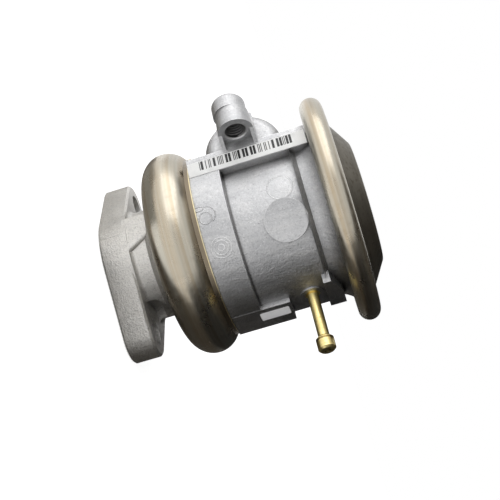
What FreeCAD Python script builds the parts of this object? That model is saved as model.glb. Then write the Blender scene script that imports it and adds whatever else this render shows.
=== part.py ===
import FreeCAD, Part
import math
import os

# Vacuum operated air valve: two die castings crimped together by rolled steel rings, with a
# diaphragm driven poppet valve in the upper casting and a non-return disc in the lower one.
# Origin: centre of the outlet bore on the gasket face of the flange. +Z runs along the valve to
# the pressed cap, +X points along the vacuum nipple and -Y is the side that carries the label.
# All sizes are in millimetres.

os.makedirs("parts", exist_ok=True)

# Outlet flange and neck
flange_t = 9.6
bolt_spacing = 52.0
bolt_hole_d = 8.8
lobe_r = 8.2
waist_r = 20.5
flange_edge = 0.7
outlet_d = 25.0
outlet_len = 11.5
neck_wall = 6.4
neck_len = 6.4
neck_fillet = 1.6
bell_h = 10.5
bell_wall = 3.4
check_room_r = 22.5

# Gusset on the neck, on the label side
gusset_left_x = -8.0
gusset_foot_x = 5.5
gusset_head_x = 0.5
gusset_out = 1.1
gusset_round = 1.2

# Room for nut and spanner, scooped out of the neck over each bolt hole
bolt_room_r = 10.5
bolt_room_h = 3.0
bolt_room_roof = 3.0

# How far a cutting or joining form runs past the face it meets
cut_spare = 1.0

# Rolled ring at the joint of the two castings
front_rim_wall = 2.8
front_roll_r = 8.15
ring_t = 1.2
seat_gap = 0.05
lip_t = 0.6
lip_w = 1.6

# Rubber ring between the castings
seal_d = 1.9
seal_wall = 0.9
groove_play = 0.05

# Upper casting, outside
band_r = 30.3
band_len = 18.8
recess_len = 23.0
recess_in = 2.3
recess_shift = 1.05
step_edge = 0.35
cove_in = 0.7
cove_foot = 1.6
cove_sag = 1.3
cove_mid = 3.6
rear_rim_r = 35.0
rear_rim_t = 2.5

# Upper casting, inside
core_r = 23.0
seat_wall = 4.0
port_d = 28.0
port_bead = 0.8
deck_t = 3.0
roll_room_r = 29.8
roll_room_h = 1.8
roll_room_drop = 2.4
roll_room_foot_r = 24.2

# Inlet duct, closed towards the label side
duct_x = -17.0
duct_r = 13.0
duct_bore_d = 18.3
duct_mouth_len = 19.0
duct_core_d = 17.6
duct_nose_in = 1.2
duct_nose_t = 6.0
duct_round = 4.5
duct_nose_under = 0.5
spigot_r = 12.0
spigot_end_y = 41.0
spigot_bead = 0.8
spigot_bead_w = 4.0

# Label platform
platform_in = 1.1
platform_far_x = -15.6
platform_root_y = -19.0
platform_gap = 0.3
label_end_gap = 0.2
label_w = 5.5
label_t = 0.12
label_inset = 0.15

# Bracket boss with its two ribs
boss_over = 4.4
boss_drop = 0.4
boss_r = 5.9
boss_face_x = -17.5
boss_far_x = -24.5
boss_end_x = -30.5
boss_taper = 0.45
boss_far_r = 5.6
boss_far_shift = 0.5
boss_round = 2.2
boss_web_w = 9.4
boss_hole_d = 6.6
boss_hole_depth = 10.0
boss_mouth = 0.5
rib_t = 1.3
rib_run = 3.1
shelf_w = 11.9
shelf_end_x = -27.5

# Round pad and nameplate pad
pad_angle = 31.0
pad_below_step = 6.5
pad_d = 13.8
pad_out = 29.4
plate_pad_x = 30.3
plate_pad_y = 4.0
plate_pad_w = 12.0
plate_pad_over = 9.7

# Stepped rib under the rear rim, beside the nipple
stay_near_y = -8.0
stay_step_y = 0.0
stay_far_y = 7.6
stay_low = 1.2
stay_len = 4.2
stay_out = 30.6

# Vacuum nipple and its drilled passage
nipple_drop = 0.8
nipple_tube_d = 3.7
nipple_reach = 20.6
nipple_root_d = 5.0
nipple_root_len = 3.4
nipple_face_out = 0.9
nipple_boss_r = 4.0
nipple_bead_d = 5.8
nipple_bead_w = 4.7
nipple_chamfer = 0.6
nipple_overlap = 0.5
nipple_bore_d = 2.2
passage_d = 2.6
passage_x = 24.9

# Non-return valve
seat_plate_t = 2.4
seat_plate_r = 28.3
seat_plate_gap = 0.05
check_hole_d = 7.6
check_hole_circle_d = 26.0
check_hole_count = 8
check_disc_r = 18.5
check_disc_t = 0.9
facing_t = 0.8
disc_gap = 0.1
facing_inset = 0.3
facing_hole_play = 1.0
check_lift = 4.0
check_pin_d = 4.0
slide_play = 0.05
check_pin_head_d = 8.0
check_pin_head_t = 1.1
check_pin_head_edge = 0.45
clip_groove = 0.5
check_cup_t = 0.7
check_spring_wire = 0.7
check_spring_spare = 0.8
check_spring_turns = 4.0
check_spring_r = 6.0
check_clip_t = 0.8
check_clip_r = 3.4
check_clip_mouth = 1.6
check_pin_tail = 0.7

# Poppet valve
stroke = 5.0
stroke_spare = 0.4
stem_d = 5.0
poppet_r = 18.5
poppet_t = 1.5
poppet_rim = 0.9
poppet_seal_t = 1.6
poppet_seal_inner_r = 9.0
poppet_washer_r = 6.0
poppet_washer_t = 1.0
nut_flats = 8.0
nut_edge_share = 0.6
poppet_nut_h = 2.4
stem_head_d = 6.2
stem_head_t = 0.7

# Stem guide
guide_hub_r = 7.5
guide_hub_below = 9.5
guide_hub_above = 4.0
bush_r = 4.4
bush_len = 13.5
lip_seal_r = 5.6
lip_seal_h = 2.4
lip_seal_waist = 0.6
cover_r = 6.4
cover_t = 0.6
cover_play = 0.4

# Diaphragm, its plates and its spring
diaphragm_t = 1.3
diaphragm_r = 36.4
roll_depth = 2.4
roll_edge = 0.9
roll_play_in = 0.8
roll_play_out = 0.6
roll_thinning = 0.2
plate_r = 21.5
plate_t = 1.2
plate_bend = 1.0
plate_rim = 2.2
top_plate_rim = 0.8
collar_d = 7.4
collar_h = 1.4
top_washer_r = 6.5
top_washer_t = 0.8
top_nut_h = 3.2
thread_d = 4.8
thread_tail = 0.9
thread_point = 0.5
spring_wire = 1.8
spring_r = 14.5
spring_turns = 3.2
wire_sides = 8
spring_cup_play = 0.6
spring_cup_t = 0.8
spring_cup_hub_play = 0.3
spring_play = 0.05

# Pressed cap
cap_t = 1.2
cap_h = 7.9
cap_flat_r = 20.2
cap_bend_r = 28.3
cap_bend_drop = 5.1
cap_foot_r = 30.2
cap_flange_over = 0.45
ring_leg_gap = 1.2
cap_round = 2.6
vent_d = 2.0
vent_r = 24.5
vent_angle = 60.0

V = FreeCAD.Vector
AXIS = V(0, 0, 1)
TINY = 0.01


# Shapes that the pieces are made from

def outline(start, *steps):
    """Edges in the XZ plane through (r, z) points. A step is an end point or an arc's (mid, end)."""
    edges = []
    here = V(start[0], 0, start[1])
    for step in steps:
        if isinstance(step[0], tuple):
            mid, end = (V(point[0], 0, point[1]) for point in step)
            edges.append(Part.Arc(here, mid, end).toShape())
        else:
            end = V(step[0], 0, step[1])
            if end.isEqual(here, TINY / 100):
                continue
            edges.append(Part.makeLine(here, end))
        here = end
    return edges


def turned(start, *steps):
    """Solid turned about the valve's axis from a closed outline."""
    wire = Part.Wire(outline(start, *steps, start))
    return Part.Face(wire).revolve(V(0, 0, 0), AXIS, 360)


def pressed(thickness, start, *steps):
    """Turned sheet of one thickness, laid below an open outline that runs outwards."""
    wire = Part.Wire(outline(start, *steps))
    section = wire.makeOffset2D(-thickness, 2, True, True)
    return section.revolve(V(0, 0, 0), AXIS, 360)


def drum(radius, low, high):
    """Solid cylinder on the valve's axis between two heights."""
    return Part.makeCylinder(radius, high - low, V(0, 0, low), AXIS)


def ring(inner, outer, low, high):
    """Plain ring on the valve's axis."""
    return drum(outer, low, high).cut(drum(inner, low, high))


def rod(radius, start, direction, length):
    """Cylinder from a point along a direction."""
    return Part.makeCylinder(radius, length, V(*start), V(*direction))


def block(x_range, y_range, z_range):
    """Box between three pairs of limits, each in any order."""
    low = V(min(x_range), min(y_range), min(z_range))
    sides = [max(pair) - min(pair) for pair in (x_range, y_range, z_range)]
    return Part.makeBox(*sides, low)


def facing(angle, out):
    """Point and direction at an angle from -Y towards +X, at a distance from the axis."""
    a = math.radians(angle)
    direction = V(math.sin(a), -math.cos(a), 0)
    return direction * out, direction


def soften(shape, radius, wanted):
    """Fillet on every edge that the test picks by the centre and size of its box."""
    edges = [edge for edge in shape.Edges if wanted(edge)]
    return shape.makeFillet(radius, edges)


def arc_steps(centre, radius, angles):
    """Arc step of an outline round a centre, from the first angle by way of the mid one."""
    mid = math.radians((angles[0] + angles[1]) / 2)
    end = math.radians(angles[1])
    points = []
    for angle in (mid, end):
        points.append((centre[0] + radius * math.cos(angle), centre[1] + radius * math.sin(angle)))
    return tuple(points)


def on_arc(centre, radius, angle):
    """Point of an arc at an angle from the outward direction."""
    a = math.radians(angle)
    return (centre[0] + radius * math.cos(a), centre[1] + radius * math.sin(a))


def hexagon(flats, low, high, hole_d):
    """Hexagonal nut on the valve's axis with its corners turned down."""
    corner = flats / 2 / math.cos(math.pi / 6)
    points = [V(corner * math.cos(k * math.pi / 3), corner * math.sin(k * math.pi / 3), low)
              for k in range(7)]
    prism = Part.Face(Part.makePolygon(points)).extrude(V(0, 0, high - low))
    blank = drum(corner, low, high)
    rims = [edge for edge in blank.Edges if edge.BoundBox.ZLength < TINY]
    turned_down = blank.makeChamfer((corner - flats / 2) * nut_edge_share, rims)
    return prism.common(turned_down).cut(drum(hole_d / 2, low, high))


def coil(wire_d, radius, low, high, turns):
    """Open coil spring between two heights, its wire centre half a wire inside each."""
    height = high - low - wire_d
    helix = Part.makeHelix(height / turns, height, radius)
    helix.translate(V(0, 0, low + wire_d / 2))
    corners = []
    for k in range(wire_sides + 1):
        angle = 2 * math.pi * k / wire_sides
        corners.append(V(radius + wire_d / 2 * math.cos(angle), 0,
                         low + wire_d / 2 * (1 + math.sin(angle))))
    section = Part.makePolygon(corners)
    return Part.Wire(helix.Edges).makePipeShell([section], True, True)


# Heights that the pieces stack up to

neck_r = outlet_d / 2 + neck_wall
neck_top = flange_t + neck_len
joint_z = neck_top + bell_h
seal_r = seat_plate_r + seat_plate_gap + seal_wall + seal_d / 2
front_rim_roll = front_roll_r - ring_t - seat_gap
front_rim_r = seal_r + seal_d / 2 + front_rim_wall
front_roll_centre = (front_rim_r - front_rim_roll, joint_z)
front_wrap = math.degrees(math.acos(
    (band_r + seat_gap - front_roll_centre[0]) / (front_roll_r - ring_t)))
lip_top = joint_z + front_roll_r * math.sin(math.radians(front_wrap)) + lip_w

recess_r = band_r - recess_in
cove_r = recess_r - cove_in
nipple_face_x = recess_r + nipple_face_out
nipple_tip_x = nipple_face_x + nipple_reach
platform_y = -(band_r - platform_in)
platform_near_x = -math.sqrt(band_r ** 2 - platform_y ** 2)
duct_nose_y = platform_y + duct_nose_in
boss_y = platform_y - boss_over
step_low = joint_z + band_len
step_high = step_low + recess_len
valve_room = (check_pin_head_t - seat_plate_gap + stroke_spare + stroke + stem_head_t
              + poppet_nut_h + poppet_washer_t + poppet_t + poppet_seal_t + disc_gap + port_bead)
seat_z = joint_z + valve_room
port_top = seat_z + seat_wall
duct_z = port_top + duct_bore_d / 2
boss_z = duct_z - boss_drop
deck_low = duct_z + duct_bore_d / 2
nipple_z = deck_low - nipple_drop
deck_z = deck_low + deck_t
spring_room = guide_hub_above + cover_t + stroke_spare + stroke + collar_h + plate_t
body_top = deck_z + spring_room
rear_rim_low = body_top - rear_rim_t

clamp_top = body_top + diaphragm_t + cap_t
rear_rim_roll = (clamp_top - rear_rim_low) / 2
rear_roll_centre = (rear_rim_r, (clamp_top + rear_rim_low) / 2)
ring_leg_r = cap_foot_r + ring_leg_gap
rear_ring_low = rear_roll_centre[1] - rear_rim_roll - seat_gap - ring_t
cap_top = body_top + diaphragm_t + cap_h

plate_top = joint_z - seat_plate_gap
plate_low = plate_top - seat_plate_t
facing_top = plate_low - disc_gap
check_disc_top = facing_top - facing_t
check_disc_low = check_disc_top - check_disc_t
check_spring_len = check_lift + check_spring_turns * check_spring_wire + check_spring_spare
check_cup_top = check_disc_low - check_spring_len
check_clip_top = check_cup_top - check_cup_t

poppet_seal_top = seat_z - port_bead - disc_gap
poppet_top = poppet_seal_top - poppet_seal_t
poppet_low = poppet_top - poppet_t
poppet_washer_low = poppet_low - poppet_washer_t
poppet_nut_low = poppet_washer_low - poppet_nut_h
stem_low = poppet_nut_low - stem_head_t
diaphragm_top = body_top + diaphragm_t
lower_plate_low = body_top - plate_t
top_washer_top = diaphragm_top + plate_t + top_washer_t
top_nut_top = top_washer_top + top_nut_h
stem_top = top_nut_top + thread_tail
hub_top = deck_z + guide_hub_above
hub_low = deck_low - guide_hub_below
lip_seal_low = hub_top - lip_seal_h
stem_hole_r = stem_d / 2 + slide_play
spring_cup_r = spring_r + spring_wire / 2 + spring_cup_play


# Lower casting: flange, neck and bell

def flange_plate():
    """Waist circle and two lobes joined by their common tangents, with softened edges."""
    reach = bolt_spacing / 2
    lean = math.asin((waist_r - lobe_r) / reach)
    corners = []
    for side_x, side_y in ((1, -1), (1, 1), (-1, 1), (-1, -1)):
        waist = V(side_x * waist_r * math.sin(lean), side_y * waist_r * math.cos(lean), 0)
        lobe = V(side_x * (reach + lobe_r * math.sin(lean)), side_y * lobe_r * math.cos(lean), 0)
        corners.append((waist, lobe))
    right_low, right_high, left_high, left_low = corners
    edges = [
        Part.makeLine(right_low[0], right_low[1]),
        Part.Arc(right_low[1], V(reach + lobe_r, 0, 0), right_high[1]).toShape(),
        Part.makeLine(right_high[1], right_high[0]),
        Part.Arc(right_high[0], V(0, waist_r, 0), left_high[0]).toShape(),
        Part.makeLine(left_high[0], left_high[1]),
        Part.Arc(left_high[1], V(-reach - lobe_r, 0, 0), left_low[1]).toShape(),
        Part.makeLine(left_low[1], left_low[0]),
        Part.Arc(left_low[0], V(0, -waist_r, 0), right_low[0]).toShape(),
    ]
    plate = Part.Face(Part.Wire(edges)).extrude(V(0, 0, flange_t))
    rims = [edge for edge in plate.Edges if edge.BoundBox.ZLength < TINY]
    return plate.makeChamfer(flange_edge, rims)


def gusset():
    """Wedge on the neck from flange to bell, wider at the flange, with rounded outer edges."""
    outer = -neck_r - gusset_out
    foot = flange_t - cut_spare
    top = neck_top + neck_fillet / 2 + cut_spare
    corners = [V(gusset_left_x, outer, foot), V(gusset_foot_x, outer, foot),
               V(gusset_foot_x, outer, flange_t), V(gusset_head_x, outer, top),
               V(gusset_left_x, outer, top), V(gusset_left_x, outer, foot)]
    wedge = Part.Face(Part.makePolygon(corners)).extrude(V(0, neck_wall / 2 + gusset_out, 0))
    return soften(wedge, gusset_round, lambda edge: edge.BoundBox.YMax < outer + TINY
                  and edge.BoundBox.ZLength > top - foot - 2 * cut_spare)


def outlet_housing():
    """Flange, neck and bell in one casting, with the room of the non-return valve inside."""
    bell_foot = on_arc(front_roll_centre, front_rim_roll, -90)
    centre = (neck_r + neck_fillet, flange_t + neck_fillet)
    shoulder = (neck_r + neck_fillet, neck_top + neck_fillet / 2)
    skin = turned(
        (0, flange_t / 2), (neck_r + neck_fillet, flange_t / 2), (neck_r + neck_fillet, flange_t),
        arc_steps(centre, neck_fillet, (270, 180)),
        (neck_r, neck_top - neck_fillet / 2),
        shoulder, bell_foot,
        arc_steps(front_roll_centre, front_rim_roll, (-90, 0)),
        (0, joint_z))
    casting = flange_plate().fuse([skin, gusset()])
    along = (check_room_r - shoulder[0]) / (bell_foot[0] - shoulder[0])
    room_foot = shoulder[1] + (bell_foot[1] - shoulder[1]) * along + bell_wall
    hollow = turned(
        (0, 0), (outlet_d / 2, 0), (outlet_d / 2, outlet_len),
        (check_room_r, room_foot), (check_room_r, plate_low), (0, plate_low))
    plate_seat = drum(seat_plate_r + seat_plate_gap, plate_low - seat_plate_gap, joint_z)
    groove = ring(seal_r - seal_d / 2 - groove_play, seal_r + seal_d / 2 + groove_play,
                  joint_z - seal_d - groove_play, joint_z)
    casting = casting.cut([hollow, plate_seat, groove])
    for side in (-1, 1):
        bolt_x = side * bolt_spacing / 2
        hole = rod(bolt_hole_d / 2, (bolt_x, 0, 0), (0, 0, 1), flange_t)
        room = rod(bolt_room_r, (bolt_x, 0, flange_t), (0, 0, 1), bolt_room_h)
        roof = Part.makeCone(bolt_room_r, bolt_room_r - bolt_room_roof, bolt_room_roof,
                             V(bolt_x, 0, flange_t + bolt_room_h))
        casting = casting.cut([hole, room, roof])
    return casting.removeSplitter()


# Upper casting

def recess_core(radius):
    """Eccentric drum that stays inside the recess."""
    shift = recess_shift / math.sqrt(2)
    return rod(radius, (shift, shift, step_low), (0, 0, 1), recess_len)


def body_skin():
    """Turned outside of the upper casting, with the eccentric recess cut round its middle."""
    band_angle = math.degrees(math.acos((band_r - front_roll_centre[0]) / front_rim_roll))
    cove_z = step_high + cove_foot
    rim_edge = on_arc(rear_roll_centre, rear_rim_roll, -90)
    top_angle = math.degrees(math.asin((body_top - rear_roll_centre[1]) / rear_rim_roll))
    skin = turned(
        (0, joint_z), on_arc(front_roll_centre, front_rim_roll, 0),
        arc_steps(front_roll_centre, front_rim_roll, (0, band_angle)),
        (band_r, step_high), (recess_r + step_edge, step_high + step_edge), (cove_r, cove_z),
        ((cove_r + cove_sag, cove_z + cove_mid), (ring_leg_r - ring_leg_gap / 4, rear_rim_low)),
        rim_edge,
        arc_steps(rear_roll_centre, rear_rim_roll, (-90, top_angle)),
        (0, body_top))
    sleeve = drum(band_r + cut_spare, step_low, step_high)
    return skin.cut(sleeve.cut(recess_core(recess_r)))


def inlet_duct():
    """Duct beside the core: rounded closed nose on the label side, hose spigot at the rear."""
    barrel = rod(duct_r, (duct_x, duct_nose_y, duct_z), (0, 1, 0), core_r - duct_nose_y)
    barrel = soften(barrel, duct_round, lambda edge: edge.BoundBox.YMax < duct_nose_y + TINY)
    beside = block((platform_near_x - cut_spare, 0), (duct_nose_y, platform_root_y),
                   (step_low, step_high))
    barrel = barrel.cut(beside.cut(recess_core(recess_r - duct_nose_under)))
    spigot = rod(spigot_r, (duct_x, 0, duct_z), (0, 1, 0), spigot_end_y)
    bead = rod(spigot_r + spigot_bead, (duct_x, spigot_end_y - spigot_bead_w, duct_z),
               (0, 1, 0), spigot_bead_w)
    bead = bead.makeChamfer(spigot_bead / 2, [
        edge for edge in bead.Edges if edge.BoundBox.YLength < TINY])
    return barrel.fuse([spigot, bead])


def label_platform():
    """Flat bar between the two rings, with a shelf that carries the bracket boss."""
    bar = block((platform_near_x, platform_far_x), (platform_y, platform_root_y),
                (lip_top + seat_gap, rear_ring_low - platform_gap))
    shelf = block((platform_far_x, shelf_end_x), (platform_y, duct_nose_y + duct_round),
                  (boss_z - shelf_w / 2, boss_z + shelf_w / 2))
    return bar.fuse(shelf)


def bracket_boss():
    """Tapered boss along X, its rounded far end set over to one side, with two sloping ribs."""
    barrel = Part.makeCone(boss_r, boss_r - boss_taper, boss_face_x - boss_far_x,
                           V(boss_face_x, boss_y, boss_z), V(-1, 0, 0))
    far_end = rod(boss_far_r, (boss_end_x, boss_y, boss_z - boss_far_shift), (1, 0, 0),
                  boss_far_x - boss_end_x)
    far_end = soften(far_end, boss_round, lambda edge: edge.BoundBox.XMax < boss_end_x + TINY)
    web = block((boss_face_x, shelf_end_x), (boss_y, platform_y),
                (boss_z - boss_web_w / 2, boss_z + boss_web_w / 2))
    pieces = [far_end, web]
    for side in (-1, 1):
        rib_z = boss_z + side * (shelf_w / 2 - rib_t / 2) - rib_t / 2
        triangle = Part.makePolygon([
            V(boss_face_x - rib_run, boss_y, rib_z), V(boss_face_x, boss_y, rib_z),
            V(boss_face_x + rib_run, platform_y, rib_z), V(boss_face_x - rib_run, platform_y, rib_z),
            V(boss_face_x - rib_run, boss_y, rib_z)])
        pieces.append(Part.Face(triangle).extrude(V(0, 0, rib_t)))
    return barrel.fuse(pieces)


def small_pads():
    """Round pad, nameplate pad, nipple boss and the stay under the rear rim."""
    point, direction = facing(pad_angle, core_r)
    pad = rod(pad_d / 2, (point.x, point.y, step_high - pad_below_step), tuple(direction),
              pad_out - core_r)
    plate_pad = block((core_r, plate_pad_x),
                      (plate_pad_y - plate_pad_w / 2, plate_pad_y + plate_pad_w / 2),
                      (lip_top + seat_gap, step_low + plate_pad_over))
    nipple_boss = rod(nipple_boss_r, (core_r, 0, nipple_z), (1, 0, 0), nipple_face_x - core_r)
    foot = step_high - stay_low
    corners = [V(core_r, stay_near_y, foot), V(core_r, stay_far_y, foot),
               V(core_r, stay_far_y, step_high + stay_len), V(core_r, stay_step_y, step_high + stay_len),
               V(core_r, stay_near_y, step_high + stay_low), V(core_r, stay_near_y, foot)]
    stay = Part.Face(Part.makePolygon(corners)).extrude(V(stay_out - core_r, 0, 0))
    return [pad, plate_pad, nipple_boss, stay]


def body_hollows():
    """Everything bored out of the upper casting."""
    bead_mid = port_d / 2 + (poppet_r - port_d / 2) / 2
    valve_chamber = turned(
        (0, joint_z), (core_r, joint_z), (core_r, seat_z), (bead_mid + port_bead, seat_z),
        (bead_mid, seat_z - port_bead), (bead_mid - port_bead, seat_z), (0, seat_z))
    port = drum(port_d / 2, seat_z - port_bead, port_top)
    inlet_chamber = drum(core_r, port_top, deck_low).cut(drum(guide_hub_r, hub_low, deck_low))
    spring_chamber = drum(core_r, deck_z, body_top).cut(drum(guide_hub_r, deck_z, hub_top))
    roll_chamber = turned(
        (0, body_top - roll_room_h - roll_room_drop),
        (roll_room_foot_r, body_top - roll_room_h - roll_room_drop),
        (roll_room_r, body_top - roll_room_h), (roll_room_r, body_top), (0, body_top))
    stem_hole = drum(bush_r, hub_low, lip_seal_low)
    seal_pocket = drum(lip_seal_r, lip_seal_low, hub_top)
    bore_y = duct_nose_y + duct_nose_t
    duct_bore = rod(duct_core_d / 2, (duct_x, bore_y, duct_z), (0, 1, 0), spigot_end_y - bore_y)
    duct_bore = duct_bore.cut(drum(guide_hub_r, hub_low, deck_low))
    duct_mouth = rod(duct_bore_d / 2, (duct_x, spigot_end_y, duct_z), (0, -1, 0), duct_mouth_len)
    boss_hole = rod(boss_hole_d / 2, (boss_face_x - boss_hole_depth, boss_y, boss_z),
                    (1, 0, 0), boss_hole_depth)
    mouth = Part.makeCone(boss_hole_d / 2, boss_hole_d / 2 + boss_mouth, boss_mouth,
                          V(boss_face_x - boss_mouth, boss_y, boss_z), V(1, 0, 0))
    root = rod(nipple_root_d / 2, (nipple_face_x - nipple_root_len, 0, nipple_z), (1, 0, 0),
               nipple_root_len)
    cross_hole = rod(passage_d / 2, (passage_x, 0, nipple_z), (1, 0, 0), nipple_face_x - passage_x)
    passage = rod(passage_d / 2, (passage_x, 0, nipple_z), (0, 0, 1), body_top - nipple_z)
    return [valve_chamber, port, inlet_chamber, spring_chamber, roll_chamber, stem_hole,
            seal_pocket, duct_bore, duct_mouth, boss_hole, mouth, root, cross_hole, passage]


def valve_body():
    """Upper casting with duct, platform, boss and pads, bored out for the two valves."""
    core = drum(core_r, joint_z, body_top)
    casting = body_skin().fuse([core, inlet_duct(), label_platform(), bracket_boss()])
    casting = casting.fuse(small_pads())
    casting = casting.cut(body_hollows())
    return casting.removeSplitter()


# Rings, cap and outside fittings

def front_clamp_ring():
    """Half round rolled ring over both rims of the joint, with a short lip on the body side."""
    inner = front_roll_r - ring_t
    end_outer = on_arc(front_roll_centre, front_roll_r, front_wrap)
    end_inner = on_arc(front_roll_centre, inner, front_wrap)
    return turned(
        on_arc(front_roll_centre, inner, -90), on_arc(front_roll_centre, front_roll_r, -90),
        arc_steps(front_roll_centre, front_roll_r, (-90, front_wrap)),
        (end_inner[0] + lip_t, end_outer[1]), (end_inner[0] + lip_t, lip_top),
        (end_inner[0], lip_top), end_inner,
        arc_steps(front_roll_centre, inner, (front_wrap, -90)))


def rear_clamp_ring():
    """U shaped rolled ring that folds over the body rim and the flange of the cap."""
    inner = rear_rim_roll + seat_gap
    outer = inner + ring_t
    centre = rear_roll_centre
    leg = ring_leg_r
    low, high = centre[1] - outer, centre[1] + outer
    return turned(
        (leg, low), (centre[0], low), arc_steps(centre, outer, (-90, 90)), (leg, high),
        (leg, high - ring_t), (centre[0], high - ring_t), arc_steps(centre, inner, (90, -90)),
        (leg, low + ring_t))


def diaphragm_cap():
    """Pressed steel cap with a flat top, a conical shoulder and a clamped flange."""
    cap = pressed(cap_t, (0, cap_top), (cap_flat_r, cap_top), (cap_bend_r, cap_top - cap_bend_drop),
                  (cap_foot_r, clamp_top), (rear_rim_r + cap_flange_over, clamp_top))
    rounded = soften(cap, cap_round, lambda edge: abs(edge.BoundBox.XMax - cap_flat_r) < TINY
                     and edge.BoundBox.ZMin > cap_top - TINY)
    place = facing(180 - vent_angle, vent_r)[0]
    vent = rod(vent_d / 2, (place.x, place.y, clamp_top), (0, 0, 1), cap_h)
    return rounded.cut(vent)


def vacuum_nipple():
    """Turned brass hose nipple, pressed into the body, with a barbed bead at its free end."""
    root = rod(nipple_root_d / 2, (nipple_face_x - nipple_root_len, 0, nipple_z), (1, 0, 0),
               nipple_root_len)
    tube = rod(nipple_tube_d / 2, (nipple_face_x - nipple_overlap, 0, nipple_z), (1, 0, 0),
               nipple_tip_x - nipple_face_x + nipple_overlap / 2)
    bead = rod(nipple_bead_d / 2, (nipple_tip_x - nipple_bead_w, 0, nipple_z), (1, 0, 0),
               nipple_bead_w)
    bead = bead.makeChamfer(nipple_chamfer, [edge for edge in bead.Edges if edge.BoundBox.XLength < TINY])
    bore = rod(nipple_bore_d / 2, (nipple_face_x - nipple_root_len, 0, nipple_z), (1, 0, 0),
               nipple_tip_x)
    return root.fuse([tube, bead]).cut(bore).removeSplitter()


def barcode_label():
    """Paper label on the platform, set in from its near edge."""
    near = platform_near_x - label_inset
    return block((near, near - label_w), (platform_y, platform_y - label_t),
                 (lip_top + label_end_gap, rear_ring_low - platform_gap - label_end_gap))


def joint_seal():
    """Rubber ring in the face groove of the lower casting."""
    return Part.makeTorus(seal_r, seal_d / 2, V(0, 0, joint_z - seal_d / 2 - groove_play / 2), AXIS)


# Non-return valve in the outlet

def check_seat_plate():
    """Plate with a ring of ports, held between the castings, with the guide pin's hole."""
    plate = ring(check_pin_d / 2, seat_plate_r, plate_low, plate_top)
    for k in range(check_hole_count):
        angle = 2 * math.pi * k / check_hole_count
        centre = (check_hole_circle_d / 2 * math.cos(angle), check_hole_circle_d / 2 * math.sin(angle))
        plate = plate.cut(rod(check_hole_d / 2, (*centre, plate_low), (0, 0, 1), seat_plate_t))
    return plate


def check_guide_pin():
    """Headed pin through the seat plate, with a groove for the clip at its tail."""
    tail = check_clip_top - check_clip_t - check_pin_tail
    shank = drum(check_pin_d / 2, tail, plate_top)
    head = drum(check_pin_head_d / 2, plate_top, plate_top + check_pin_head_t)
    head = head.makeChamfer(check_pin_head_edge, [
        edge for edge in head.Edges if edge.BoundBox.ZMin > plate_top + check_pin_head_t - TINY])
    groove = ring(check_pin_d / 2 - clip_groove, check_pin_d / 2,
                  check_clip_top - check_clip_t, check_clip_top)
    return shank.fuse(head).cut(groove)


def check_disc():
    """Thin steel disc that slides on the guide pin."""
    return ring(check_pin_d / 2 + slide_play, check_disc_r, check_disc_low, check_disc_top)


def check_disc_facing():
    """Rubber bonded to the upper side of the non-return disc."""
    return ring(check_pin_d / 2 + facing_hole_play, check_disc_r - facing_inset,
                check_disc_top, facing_top)


def check_spring():
    """Light coil spring between the disc and its cup."""
    return coil(check_spring_wire, check_spring_r - check_spring_wire, check_cup_top + spring_play,
                check_disc_low - spring_play, check_spring_turns)


def check_spring_cup():
    """Dished washer that carries the light spring."""
    rim_r = check_spring_r + check_cup_t
    return pressed(check_cup_t, (check_pin_d / 2, check_cup_top), (rim_r, check_cup_top),
                   (rim_r + check_cup_t, check_cup_top + 2 * check_cup_t))


def check_pin_clip():
    """Split clip in the pin's groove."""
    low = check_clip_top - check_clip_t
    clip = ring(check_pin_d / 2 - clip_groove, check_clip_r, low, check_clip_top)
    half = check_clip_mouth / 2
    return clip.cut(block((0, check_clip_r), (-half, half), (low, check_clip_top)))


# Poppet valve and its stem

def valve_stem():
    """Stem with a riveted head below the poppet, a collar under the plates and a threaded end."""
    head = drum(stem_head_d / 2, stem_low, poppet_nut_low)
    shank = drum(stem_d / 2, poppet_nut_low, lower_plate_low)
    collar = drum(collar_d / 2, lower_plate_low - collar_h, lower_plate_low)
    tail = drum(thread_d / 2, lower_plate_low, stem_top)
    tail = tail.makeChamfer(thread_point, [
        edge for edge in tail.Edges if edge.BoundBox.ZMin > stem_top - TINY])
    return head.fuse([shank, collar, tail]).removeSplitter()


def valve_disc():
    """Pressed disc of the poppet, its rim turned down for stiffness."""
    return pressed(poppet_t, (stem_d / 2, poppet_top), (poppet_r - poppet_rim, poppet_top),
                   (poppet_r, poppet_top - poppet_rim))


def valve_disc_seal():
    """Rubber ring bonded to the poppet, which closes on the bead round the port."""
    return ring(poppet_seal_inner_r, poppet_r - poppet_rim, poppet_top, poppet_seal_top)


def valve_disc_washer():
    return ring(stem_d / 2, poppet_washer_r, poppet_washer_low, poppet_low)


def valve_disc_nut():
    return hexagon(nut_flats, poppet_nut_low, poppet_washer_low, stem_d)


def stem_guide_bush():
    """Bush pressed into the hub, in which the stem slides."""
    top = lip_seal_low
    return ring(stem_hole_r, bush_r, top - bush_len, top)


def stem_lip_seal():
    """Rubber seal with a waist between two lips, above the bush."""
    return turned(
        (stem_hole_r, lip_seal_low), (lip_seal_r, lip_seal_low), (lip_seal_r, hub_top),
        (stem_hole_r, hub_top), (stem_hole_r + lip_seal_waist, (lip_seal_low + hub_top) / 2))


def seal_cover():
    """Pressed washer over the lip seal, staked to the hub."""
    return ring(stem_hole_r + cover_play, cover_r, hub_top, hub_top + cover_t)


def spring_cup():
    """Pressed seat of the return spring, round the hub."""
    return pressed(spring_cup_t, (guide_hub_r + spring_cup_hub_play, deck_z + spring_cup_t),
                   (spring_cup_r, deck_z + spring_cup_t),
                   (spring_cup_r + spring_cup_t, deck_z + 3 * spring_cup_t))


def return_spring():
    """Coil spring that holds the valve shut."""
    return coil(spring_wire, spring_r, deck_z + spring_cup_t + spring_play,
                lower_plate_low - spring_play, spring_turns)


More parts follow.
